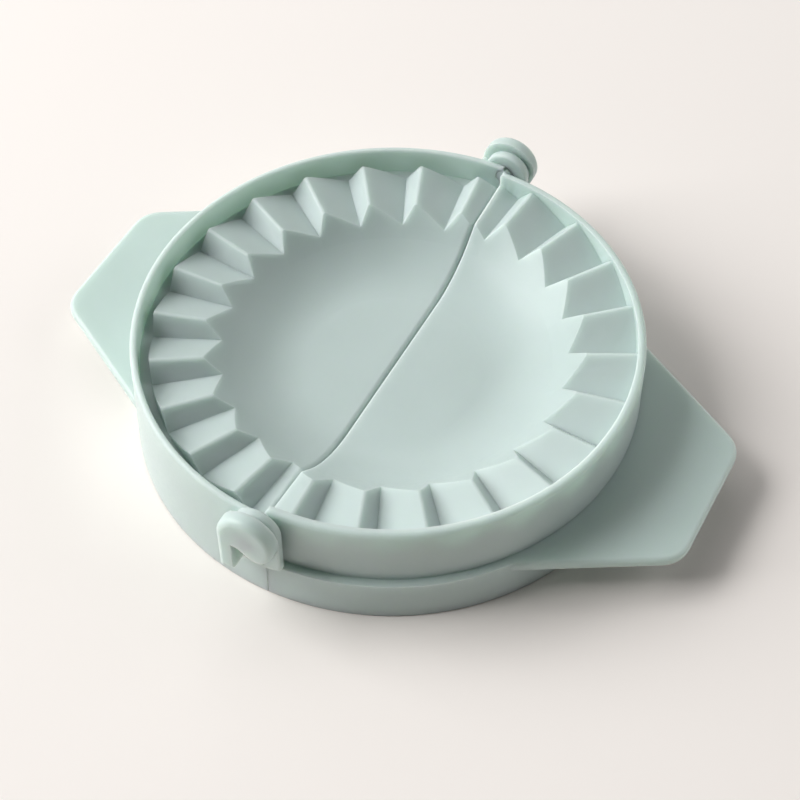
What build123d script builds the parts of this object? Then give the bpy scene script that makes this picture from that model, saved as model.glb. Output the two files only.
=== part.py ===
"""Empanada press: two half-dishes with meshing crimp teeth, hinged along their shared diameter.

Open flat, the hollows face up. The hinge axis lies along Y, the outer half is on the -X side, and
the inner half, on the +X side, folds over onto it. Z = 0 is the surface that the press stands on.
"""

import os
from math import cos, radians, sin, tan

from build123d import *

# ---- Driving dimensions, millimetres and degrees --------------------------------------------
tab_reach = 69.0            # hinge axis to the end of a finger tab
hinge_reach = 56.5          # centre to the outer face of a hinge lug

hinge_height = 20.5         # hinge axis above the surface
rim_rise = 2.3              # top of both upright walls above the hinge axis
seam_gap = 0.4              # gap between the halves along the diameter
wall = 1.6                  # skirts of both halves
skin = 1.8                  # bowl, crimp band and groove floor, measured across the sheet
edge_round = 0.5            # softened rims and edges

# Bowl, the same in both halves
bowl_floor_height = 10.8    # top of the bowl's flat floor
bowl_side_angle = 42.0      # bowl side above the horizontal
bowl_lip_radius = 34.1      # where the side passes the lip height
bowl_lip_height = 17.0
bowl_blend_radius = 22.0    # blend from floor to side

# Crimp teeth: sawtooth folds whose faces run in to a point on the vertical axis
tooth_count = 12            # folds in one half
tooth_rise = 4.0            # crest above root at the outer end
steep_share = 0.25          # part of the pitch taken by the steep face
crest_round = 0.7           # rounding along each crest
dough_gap = 2.2             # room left between the folds when the press is shut

# Outer half
lug_standout = 5.3          # outer face of a hinge lug beyond the rim
skirt_flare = 0.6           # both halves are this much wider at the surface than at the rim
rim_wall = 1.3              # thickness of the wall at the rim
rim_round = 0.7             # outer edge of the rim
groove_floor_height = 16.8  # groove that takes the inner half's wall, and root of the teeth
ring_clearance = 0.25       # inner half's wall in the groove, on each side

# Inner half
inner_apex_drop = 1.0       # its faces start this far below the outer half's, so they slope inward
ledge_height = 9.3          # ledge around the wall
ledge_thickness = 2.0
ring_wall = 1.7             # thickness of the upright wall
ring_draft = 0.1            # wall is this much wider at the ledge
ring_top_round = 1.0        # outer top edge of the wall
ring_corner_round = 0.6     # top corner at each end of the wall

# Finger tabs
tab_thickness = 2.3
tab_end_width = 30.0        # width of the straight end, between its unrounded corners
tab_flare = 30.0            # side edges away from the X axis
tab_corner_round = 6.5
tab_edge_round = 0.9

# Hinge: a peg on the inner half turns in a lug of the outer half at each end of the axis
peg_radius = 1.6
peg_clearance = 0.06        # radial running clearance in the lug
peg_root = 0.4              # peg runs this deep into the wall that carries it
peg_end_gap = 0.1           # peg's end to the end of its bore
peg_end_chamfer = 0.3
ear_radius = 4.7            # rounded inner ear of the lug
ear_thickness = 1.9
ear_gap = 1.35              # inner half's wall to the ear's inner face
ear_round = 0.5             # softened edges of the ear
cap_radius = 5.9            # rounded outer cap of the lug
cap_thickness = 2.9
cap_offset = 0.5            # cap's centre from the axis towards the outer half
cap_round = 1.3             # outer edge of the cap
cap_face_skin = 0.7         # cap's face in front of the bore
lug_neck_radius = 3.9       # neck between ear and cap
swing_clearance = 0.35      # ledge past the ear's foot as the halves fold
slot_left = 3.2             # opening under the bearing, from the axis towards the outer half
slot_right = 1.3            # and towards the inner half
slot_level = 1.2            # level part of the opening's top, which then falls to the arm's end
slot_top_drop = 1.9         # top of the opening below the axis
cap_arm_drop = 3.9          # end of the cap's short arm below the axis
lug_foot_rise = 1.2         # foot of the lug's leg above the ledge
skirt_seam = 0.8            # outer half's skirt runs on this far past the axis under the ear
seam_edge_round = 1.0       # outer half's bowl edge along the diameter

# ---- Values that follow ---------------------------------------------------------------------
tooth_pitch = 180.0 / tooth_count
steep_span = tooth_pitch * steep_share
gentle_span = tooth_pitch - steep_span

rim_height = hinge_height + rim_rise
outer_wall_radius = hinge_reach - lug_standout      # outside of the outer half at the rim
skirt_radius = outer_wall_radius + skirt_flare      # outside of both halves at the surface
ledge_radius = skirt_radius - skirt_flare * ledge_height / rim_height
groove_outer_radius = outer_wall_radius - rim_wall
ring_radius = groove_outer_radius - ring_clearance
ring_inner_radius = ring_radius - ring_wall
groove_inner_radius = ring_inner_radius - ring_clearance
ring_foot_radius = ring_radius + ring_draft

outer_root = groove_floor_height
outer_crest = outer_root + tooth_rise
inner_root = 2 * hinge_height - dough_gap - outer_crest
inner_crest = inner_root + tooth_rise
inner_apex = outer_root - inner_apex_drop
band_underside = groove_floor_height - skin

ear_inner_face = ring_foot_radius + ear_gap
cap_inner_face = hinge_reach - cap_thickness
bore_end = hinge_reach - cap_face_skin
lug_foot_height = ledge_height + lug_foot_rise
ear_foot_radius = hinge_height - ledge_height - swing_clearance
bore_radius = peg_radius + peg_clearance

side_slope = tan(radians(bowl_side_angle))
slice_start = bowl_lip_radius - (bowl_lip_height - band_underside) / side_slope - skin
tab_root = ledge_radius - wall / 2          # tabs run in to the middle of the skirt
beyond = 10.0                               # how far cutting shapes run past what they cut


def wall_radius_at(height):
    """Outside radius of the outer half's drafted wall at a height."""
    return skirt_radius - skirt_flare * height / rim_height


def bowl_section(depth):
    """Path across the bowl from the axis to above the rim, this far below the bowl's surface."""
    floor = bowl_floor_height - depth
    corner = bowl_lip_radius - (bowl_lip_height - bowl_floor_height) / side_slope
    corner += depth * tan(radians(bowl_side_angle / 2))
    top = rim_height + beyond
    return [(0, floor), (corner, floor), (corner + (top - floor) / side_slope, top)]


def bowl_body(depth):
    """Solid that fills the bowl up to above the rim, grown downward by a depth."""
    path = bowl_section(depth)
    with BuildPart() as body:
        with BuildSketch(Plane.XZ):
            with BuildLine():
                FilletPolyline(*path, radius=bowl_blend_radius + depth)
                Polyline(path[-1], (0, path[-1][1]), path[0])
            make_face()
        revolve(axis=Axis.Z)
    return body.part


def ray_point(radius, angle, height):
    """Point at a radius and an angle about the vertical axis."""
    return Vector(radius * cos(radians(angle)), radius * sin(radians(angle)), height)


def face_plane(apex, start, end):
    """Plane of a tooth face through the apex and two points of its outer edge, facing up."""
    return Plane(origin=apex, x_dir=start - apex, z_dir=(start - apex).cross(end - apex))


def tooth_wedge(reach, apex_height, root, crest):
    """Wedge under one tooth, root to root, with its gentle face first and out to a radius."""
    apex = Vector(0, 0, apex_height)
    first = ray_point(groove_inner_radius, 0, root)
    top = ray_point(groove_inner_radius, gentle_span, crest)
    last = ray_point(groove_inner_radius, tooth_pitch, root)
    with BuildPart() as wedge:
        with BuildSketch():
            with BuildLine():
                near = CenterArc((0, 0), slice_start, 0, tooth_pitch)
                far = CenterArc((0, 0), reach, 0, tooth_pitch)
                Line(near @ 0, far @ 0)
                Line(near @ 1, far @ 1)
            make_face()
        extrude(amount=rim_height + beyond)
        split(bisect_by=face_plane(apex, first, top), keep=Keep.BOTTOM)
        split(bisect_by=face_plane(apex, top, last), keep=Keep.BOTTOM)
        ridge = wedge.edges().filter_by(lambda e: e.length > skin).sort_by(
            lambda e: (e @ 0.5 - (apex + top) / 2).cross((top - apex).normalized()).length
        )[0]
        fillet(ridge, crest_round)
    return wedge.part


def crimp_slice(reach, hollow_reach, apex_height, root, crest):
    """One tooth pitch of the crimp band and of the bowl's side, hollow below."""
    wedge = tooth_wedge(reach, apex_height, root, crest)
    with BuildPart() as hollow:
        add(tooth_wedge(hollow_reach, apex_height, root, crest).moved(Location((0, 0, -skin))))
        with BuildSketch():
            Circle(reach + beyond)
        extrude(amount=band_underside)
        add(bowl_body(skin), mode=Mode.SUBTRACT)
    with BuildPart() as slice_:
        add(wedge)
        add(hollow.part, mode=Mode.SUBTRACT)
        add(bowl_body(0), mode=Mode.SUBTRACT)
    return slice_.part


def dish_body(start, reach, hollow_reach, apex_height, root, crest):
    """Half-dish: bowl and crimp slices patterned from the start angle round half a turn.

    The hinge plane cuts the gentle faces of the first and the last slice in half, so that a folded
    half lies with its crests over the roots of the other.
    """
    one_slice = crimp_slice(reach, hollow_reach, apex_height, root, crest)
    with BuildPart() as dish:
        add(bowl_body(skin))
        with BuildSketch(Plane.XY.offset(band_underside)):
            Circle(skirt_radius + beyond)
        extrude(amount=rim_height + beyond, mode=Mode.SUBTRACT)
        add(bowl_body(0), mode=Mode.SUBTRACT)
        with PolarLocations(0, tooth_count + 1, start, (tooth_count + 1) * tooth_pitch):
            add(one_slice)
    return dish.part


def tab_body(side):
    """Finger tab with its top at the ledge, reaching in to the skirt; side is +1 or -1."""
    half_end = tab_end_width / 2
    root = tab_root * sin(radians(tab_flare))
    half_root = half_end + (tab_reach - root) * tan(radians(tab_flare))
    with BuildPart() as tab:
        with BuildSketch(Plane.XY.offset(ledge_height - tab_thickness)) as outline:
            with BuildLine():
                Polyline(
                    (side * root, half_root),
                    (side * tab_reach, half_end),
                    (side * tab_reach, -half_end),
                    (side * root, -half_root),
                    close=True,
                )
            make_face()
            fillet(outline.vertices().filter_by(lambda v: abs(v.X) > tab_root), tab_corner_round)
        extrude(amount=tab_thickness)
        rims = tab.faces().filter_by(Axis.Z).edges()
        fillet(rims.filter_by(lambda e: abs((e @ 0.5).X) > root + wall), tab_edge_round)
        with BuildSketch():
            Circle(tab_root)
        extrude(amount=rim_height, mode=Mode.SUBTRACT)
    return tab.part


# ---- Hinge lug of the outer half, at the -Y end ----------------------------------------------
with BuildSketch(Plane.XZ, mode=Mode.PRIVATE) as ear_outline:
    # A rounded top and a straight leg, cut off below where the ledge swings past
    with Locations((0, hinge_height)):
        Circle(ear_radius)
        Rectangle(2 * ear_radius, hinge_height, align=(Align.CENTER, Align.MAX))
        Circle(ear_foot_radius, mode=Mode.INTERSECT)

leg_width = cap_radius + cap_offset - slot_left
leg_height = hinge_height - lug_foot_height

with BuildPart() as lug:
    # Ear: a plate beside the inner half's wall
    with BuildSketch(Plane.XZ.offset(ear_inner_face)):
        add(ear_outline.sketch_local)
    extrude(amount=ear_thickness)
    fillet(lug.faces().filter_by(Axis.Y).edges(), ear_round)

    # On the outer half's side it joins the wall behind it, up to the rim's rounding
    with BuildSketch(Plane.XZ.offset(groove_outer_radius)):
        add(ear_outline.sketch_local)
        with Locations((-seam_gap / 2, rim_height - rim_round)):
            Rectangle(
                ear_radius + beyond,
                2 * hinge_height,
                align=(Align.MAX, Align.MAX),
                mode=Mode.INTERSECT,
            )
    extrude(amount=ear_inner_face + ear_thickness / 2 - groove_outer_radius)

    # Neck from the ear to the cap
    with BuildSketch(Plane.XZ.offset(ear_inner_face + ear_thickness / 2)):
        with Locations((0, hinge_height)):
            Circle(lug_neck_radius)
    extrude(amount=cap_inner_face - ear_inner_face - ear_thickness / 2)

    # Web that joins the cap's leg to the wall
    with BuildSketch(Plane.XZ.offset(groove_outer_radius)):
        with Locations((-slot_left, lug_foot_height)):
            Rectangle(leg_width, leg_height, align=(Align.MAX, Align.MIN))
    extrude(amount=cap_inner_face - groove_outer_radius)

    # Cap: a hook with a long leg on the outer half's side and a short arm on the other
    with BuildSketch(Plane.XZ.offset(cap_inner_face)):
        with Locations((-cap_offset, hinge_height)):
            Circle(cap_radius)
        with Locations((-slot_left, lug_foot_height)):
            Rectangle(leg_width, leg_height, align=(Align.MAX, Align.MIN))
        with Locations((-slot_left, hinge_height - cap_arm_drop)):
            Rectangle(2 * cap_radius, cap_radius, align=(Align.MIN, Align.MAX), mode=Mode.SUBTRACT)
    extrude(amount=cap_thickness)
    fillet(
        lug.faces()
        .sort_by(Axis.Y)[0]
        .edges()
        .filter_by(
            lambda e: (e @ 0.5).X < -slot_left - edge_round or (e @ 0.5).Z > hinge_height
        ),
        cap_round,
    )

    # Opening under the bearing
    slot_top = hinge_height - slot_top_drop
    with BuildSketch(Plane.XZ.offset(skirt_radius)):
        with BuildLine():
            Polyline(
                (-slot_left, lug_foot_height),
                (-slot_left, slot_top),
                (slot_level - slot_left, slot_top),
                (slot_right, hinge_height - cap_arm_drop),
                (slot_right, lug_foot_height),
                close=True,
            )
        make_face()
    extrude(amount=hinge_reach, mode=Mode.SUBTRACT)


# ---- Outer half, on the -X side --------------------------------------------------------------
with BuildPart() as outer_half:
    add(
        dish_body(
            90 - gentle_span / 2,
            groove_inner_radius,
            groove_inner_radius - wall,
            outer_root,
            outer_root,
            outer_crest,
        )
    )
    # Wall and the floor of the groove inside it
    with BuildSketch(Plane.XZ) as section:
        with BuildLine():
            Polyline(
                (groove_inner_radius - wall, band_underside),
                (groove_inner_radius - wall, groove_floor_height),
                (groove_outer_radius, groove_floor_height),
                (groove_outer_radius, rim_height),
                (outer_wall_radius, rim_height),
                (skirt_radius, 0),
                (skirt_radius - wall, 0),
                (wall_radius_at(band_underside) - wall, band_underside),
                close=True,
            )
        make_face()
        fillet(section.vertices().group_by(Axis.Y)[-1].sort_by(Axis.X)[-1], rim_round)
        fillet(section.vertices().group_by(Axis.Y)[-1].sort_by(Axis.X)[0], edge_round)
    revolve(axis=Axis.Z)
    split(bisect_by=Plane.YZ.offset(-seam_gap / 2), keep=Keep.BOTTOM)

    # Rounded edge of the bowl and the crimp band along the diameter
    below_skin = Vector(-skin / 4, 0, skin / 4)
    fillet(
        outer_half.faces()
        .sort_by(Axis.X)[-1]
        .edges()
        .filter_by(lambda e: abs((e @ 0.5).Y) < groove_inner_radius - skin)
        .filter_by(lambda e: not outer_half.solid().is_inside(e @ 0.5 + below_skin)),
        seam_edge_round,
    )

    # Skirt that runs on under the ears
    foot_top = hinge_height - ear_foot_radius + edge_round
    with BuildSketch(Plane.YZ.offset(-seam_gap / 2)) as skirt_end:
        with BuildLine():
            Polyline(
                (skirt_radius, 0),
                (wall_radius_at(foot_top), foot_top),
                (wall_radius_at(foot_top) - wall, foot_top),
                (skirt_radius - wall, 0),
                close=True,
            )
        make_face()
        mirror(about=Plane.YZ)
    extrude(amount=seam_gap / 2 + skirt_seam)

    add(tab_body(-1))
    add(lug)
    mirror(lug.part, about=Plane.XZ)
    for end in (1, -1):
        with BuildSketch(Plane.XZ.offset(end * groove_inner_radius)):
            with Locations((0, hinge_height)):
                Circle(bore_radius)
        extrude(amount=end * (bore_end - groove_inner_radius), mode=Mode.SUBTRACT)

# ---- Inner half, on the +X side --------------------------------------------------------------
with BuildPart() as inner_half:
    add(
        dish_body(
            -90 - gentle_span / 2,
            ring_inner_radius + edge_round,
            ring_inner_radius,
            inner_apex,
            inner_root,
            inner_crest,
        )
    )
    # Wall, ledge and skirt
    with BuildSketch(Plane.XZ) as section:
        with BuildLine():
            Polyline(
                (ring_inner_radius, rim_height),
                (ring_radius, rim_height),
                (ring_foot_radius, ledge_height),
                (ledge_radius, ledge_height),
                (skirt_radius, 0),
                (skirt_radius - wall, 0),
                (ledge_radius - wall, ledge_height - ledge_thickness),
                (ring_foot_radius - wall, ledge_height - ledge_thickness),
                close=True,
            )
        make_face()
        rim = section.vertices().group_by(Axis.Y)[-1].sort_by(Axis.X)
        ledge = section.vertices().filter_by(lambda v: ledge_height <= v.Y < rim_height)
        fillet(rim[-1], ring_top_round)
        fillet([rim[0], *ledge], edge_round)
    revolve(axis=Axis.Z)
    split(bisect_by=Plane.YZ.offset(seam_gap / 2), keep=Keep.TOP)

    for end in (1, -1):
        # Room for the outer half's ear and skirt end
        with BuildSketch(Plane.XZ.offset(end * ring_foot_radius)):
            Rectangle(
                2 * skirt_seam + seam_gap,
                ledge_height + edge_round,
                align=(Align.CENTER, Align.MIN),
            )
        extrude(amount=end * beyond, mode=Mode.SUBTRACT)

        # Rounded top corner where the wall ends
        with BuildSketch(Plane.XZ.offset(end * groove_inner_radius)):
            with Locations((seam_gap / 2, rim_height)):
                Rectangle(2 * ring_corner_round, 2 * ring_corner_round)
            with Locations((seam_gap / 2 + ring_corner_round, rim_height - ring_corner_round)):
                Rectangle(
                    beyond, beyond, align=(Align.MIN, Align.CENTER), mode=Mode.SUBTRACT
                )
                Circle(ring_corner_round, mode=Mode.SUBTRACT)
        extrude(amount=end * beyond, mode=Mode.SUBTRACT)

        # Hinge peg: its inner end is level with the outer half's wall, and the side on the
        # inner half runs on into that half's wall
        with BuildSketch(Plane.XZ.offset(end * groove_outer_radius)):
            with Locations((0, hinge_height)):
                Circle(peg_radius)
        extrude(amount=end * (bore_end - peg_end_gap - groove_outer_radius))
        with BuildSketch(Plane.XZ.offset(end * (ring_radius - peg_root))):
            with Locations((0, hinge_height)):
                Circle(peg_radius)
            with Locations((seam_gap / 2, hinge_height)):
                Rectangle(
                    beyond,
                    beyond,
                    align=(Align.MIN, Align.CENTER),
                    mode=Mode.INTERSECT,
                )
        extrude(amount=end * (groove_outer_radius - ring_radius + peg_root))
    peg_ends = inner_half.faces().sort_by(Axis.Y)
    chamfer(peg_ends[0].edges() + peg_ends[-1].edges(), peg_end_chamfer)
    add(tab_body(1))

os.makedirs("parts", exist_ok=True)
outer_half.part.label = "outer_half"
export_step(outer_half.part, "parts/outer_half.step")
inner_half.part.label = "inner_half"
export_step(inner_half.part, "parts/inner_half.step")
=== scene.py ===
import math

import bpy
import numpy as np
from mathutils import Matrix, Vector

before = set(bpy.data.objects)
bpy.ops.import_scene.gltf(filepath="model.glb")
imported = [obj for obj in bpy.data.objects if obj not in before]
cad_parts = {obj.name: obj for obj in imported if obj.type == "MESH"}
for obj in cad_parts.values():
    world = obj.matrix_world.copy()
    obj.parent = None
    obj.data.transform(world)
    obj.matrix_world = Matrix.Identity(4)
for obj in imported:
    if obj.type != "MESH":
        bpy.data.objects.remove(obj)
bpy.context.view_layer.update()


def paint(hex_colour):
    """Linear colour of an sRGB hex value, by the standard sRGB curve."""
    parts = [int(hex_colour[i : i + 2], 16) / 255 for i in (1, 3, 5)]
    return [c / 12.92 if c <= 0.04045 else ((c + 0.055) / 1.055) ** 2.4 for c in parts] + [1.0]


def node(tree, kind, settings=None, **links):
    """Adds a shader node, sets its settings and sockets, and links what is given as a socket."""
    made = tree.nodes.new(kind)
    for name, value in (settings or {}).items():
        if hasattr(made, name):
            setattr(made, name, value)
        else:
            made.inputs[name].default_value = value
    for name, source in links.items():
        tree.links.new(source, made.inputs[name.replace("_", " ")])
    return made


def surface_material(name):
    """An empty node material with its output node."""
    made = bpy.data.materials.new(name)
    made.use_nodes = True
    made.node_tree.nodes.clear()
    return made, made.node_tree, made.node_tree.nodes.new("ShaderNodeOutputMaterial")


table_width = 6.0
table_drop = 0.0002  # clear of the skirts' feet, so that the two faces don't flicker
table_points = 5  # grid points along one side

table_paper, tree, out = surface_material("table_paper")
shader = node(
    tree,
    "ShaderNodeBsdfPrincipled",
    {"Base Color": paint("#F9F3EE"), "Roughness": 0.8, "Specular IOR Level": 0.2},
)
tree.links.new(shader.outputs[0], out.inputs["Surface"])

# A flat grid: point (i, j) stands at the i-th place across and the j-th place along.
across = np.linspace(-table_width / 2, table_width / 2, table_points)
grid_x, grid_y = np.meshgrid(across, across)
corners = np.stack([grid_x, grid_y, np.full_like(grid_x, -table_drop)], -1).reshape(-1, 3)
steps = np.arange(table_points - 1)
first = (steps[:, None] * table_points + steps).ravel()
squares = np.stack([first, first + 1, first + table_points + 1, first + table_points], 1)
table_mesh = bpy.data.meshes.new("table")
table_mesh.from_pydata(corners.tolist(), [], squares.tolist())
table_mesh.materials.append(table_paper)
table = bpy.data.objects.new("table", table_mesh)
bpy.context.scene.collection.objects.link(table)


lamp_size = 1.2


def soft_lamp(name, azimuth, elevation, distance, strength):
    """White square area lamp on a sphere about the press, facing its centre.

    Its power gives a white card that faces it a value of strength: power = strength * pi^2 * d^2.
    """
    lamp = bpy.data.lights.new(name, "AREA")
    lamp.shape = "SQUARE"
    lamp.size = lamp_size
    lamp.energy = strength * math.pi**2 * distance**2
    stand = bpy.data.objects.new(name, lamp)
    az, el = math.radians(azimuth), math.radians(elevation)
    towards = Vector((math.cos(az) * math.cos(el), math.sin(az) * math.cos(el), math.sin(el)))
    stand.location = towards * distance
    stand.rotation_euler = towards.to_track_quat("Z", "Y").to_euler()
    bpy.context.scene.collection.objects.link(stand)


soft_lamp("window_lamp", azimuth=200, elevation=36, distance=1.6, strength=1.36)
soft_lamp("ceiling_lamp", azimuth=135, elevation=50, distance=1.4, strength=0.24)
soft_lamp("wall_bounce", azimuth=36, elevation=25, distance=1.4, strength=0.33)

# The walls are seen, straight or in a gloss, as a pale grey, and light the press far less.
room_fill = 0.02
wall_level = 0.6
world = bpy.data.worlds.new("room")
world.use_nodes = True
tree = world.node_tree
rays = node(tree, "ShaderNodeLightPath")
shown = node(
    tree,
    "ShaderNodeCombineXYZ",
    X=rays.outputs["Is Camera Ray"],
    Y=rays.outputs["Is Glossy Ray"],
    Z=rays.outputs["Is Transmission Ray"],
)
seen = node(tree, "ShaderNodeVectorMath", {"operation": "LENGTH"}, Vector=shown.outputs["Vector"])
brightness = node(
    tree,
    "ShaderNodeMapRange",
    {"To Min": room_fill, "To Max": wall_level},
    Value=seen.outputs["Value"],
)
walls = tree.nodes["Background"]
walls.inputs["Color"].default_value = paint("#FBF8F4")
tree.links.new(brightness.outputs["Result"], walls.inputs["Strength"])
bpy.context.scene.world = world

# --- Moulded halves ---------------------------------------------------------------------------
# Both halves are injection-moulded polypropylene in one sage tint, and turn on each other by
# pegs moulded with them. It is satin, faintly cloudy and waxy, so that light enters its thin
# walls, with edges rounded by the mould and a fine mottle where the mould was spark-eroded.

sage = "#C2D2CE"
cloud_size = 28e-3
cloud_dark, cloud_light = 0.965, 1.02  # the tint's range from cloud to cloud
mottle_size = 0.9e-3  # a real spark finish is finer, and this is as coarse as it needs to show
mottle_height = 0.02e-3
edge_radius = 0.25e-3
light_depth = 3.4e-3  # how far light wanders in the plastic


def moulded_polypropylene(name, tint):
    """Satin polypropylene: pale pigment, soft waxy depth, spark-eroded mottle, moulded edges."""
    made, tree, out = surface_material(name)
    place = node(tree, "ShaderNodeTexCoord")
    cloud = node(
        tree,
        "ShaderNodeTexNoise",
        {"Scale": 1 / cloud_size, "Detail": 2.0, "Roughness": 0.5},
        Vector=place.outputs["Object"],
    )
    colour = node(tree, "ShaderNodeValToRGB", Fac=cloud.outputs["Fac"])
    base = paint(tint)[:3]
    for element, place_along, factor in zip(
        colour.color_ramp.elements, (0.3, 0.7), (cloud_dark, cloud_light)
    ):
        element.position = place_along
        element.color = [c * factor for c in base] + [1]
    mottle = node(
        tree,
        "ShaderNodeTexNoise",
        {"Scale": 1 / mottle_size, "Detail": 3.0, "Roughness": 0.6},
        Vector=place.outputs["Object"],
    )
    shine = node(
        tree,
        "ShaderNodeMapRange",
        {"From Min": 0.3, "From Max": 0.7, "To Min": 0.30, "To Max": 0.42},
        Value=mottle.outputs["Fac"],
    )
    soft_edge = node(tree, "ShaderNodeBevel", {"samples": 6, "Radius": edge_radius})
    relief = node(
        tree,
        "ShaderNodeBump",
        {"Strength": 0.12, "Distance": mottle_height},
        Height=mottle.outputs["Fac"],
        Normal=soft_edge.outputs["Normal"],
    )
    shader = node(
        tree,
        "ShaderNodeBsdfPrincipled",
        {
            "Metallic": 0.0,
            "IOR": 1.49,
            "Specular IOR Level": 0.3,
            "Subsurface Weight": 1.0,
            "Subsurface Radius": (1.06, 1.12, 0.98),
            "Subsurface Scale": light_depth,
        },
        Base_Color=colour.outputs["Color"],
        Roughness=shine.outputs["Result"],
        Normal=relief.outputs["Normal"],
    )
    tree.links.new(shader.outputs[0], out.inputs["Surface"])
    return made


for half in ("outer_half", "inner_half"):
    finish = moulded_polypropylene(half + "_polypropylene", sage)
    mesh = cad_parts[half].data
    mesh.materials.clear()
    mesh.materials.append(finish)

# --- Camera -----------------------------------------------------------------------------------
# Looks down on the open press from beyond the near hinge lug, a little to the inner half's side.
# Azimuth turns about +Z from straight behind -Y, and the roll about the line of sight is slight.

view_azimuth, view_elevation, view_roll = 27.99, 51.10, -0.21
view_distance = 0.36675
view_target = Vector((4.99e-3, -6.24e-3, 10e-3))

az, el, roll = (math.radians(a) for a in (view_azimuth, view_elevation, view_roll))
back = Vector((math.sin(az) * math.cos(el), -math.cos(az) * math.cos(el), math.sin(el)))
level = Vector((math.cos(az), math.sin(az), 0))
up = back.cross(level)
right = math.cos(roll) * level + math.sin(roll) * up
upright = -math.sin(roll) * level + math.cos(roll) * up
lens = bpy.data.cameras.new("camera")
lens.sensor_width = 36
lens.lens = 83.31
lens.clip_start = 0.01
camera = bpy.data.objects.new("camera", lens)
spot = view_target + back * view_distance
camera.matrix_world = Matrix(
    [[right[i], upright[i], back[i], spot[i]] for i in range(3)] + [[0, 0, 0, 1]]
)
bpy.context.scene.collection.objects.link(camera)
bpy.context.scene.camera = camera

bpy.context.scene.view_settings.view_transform = "Standard"
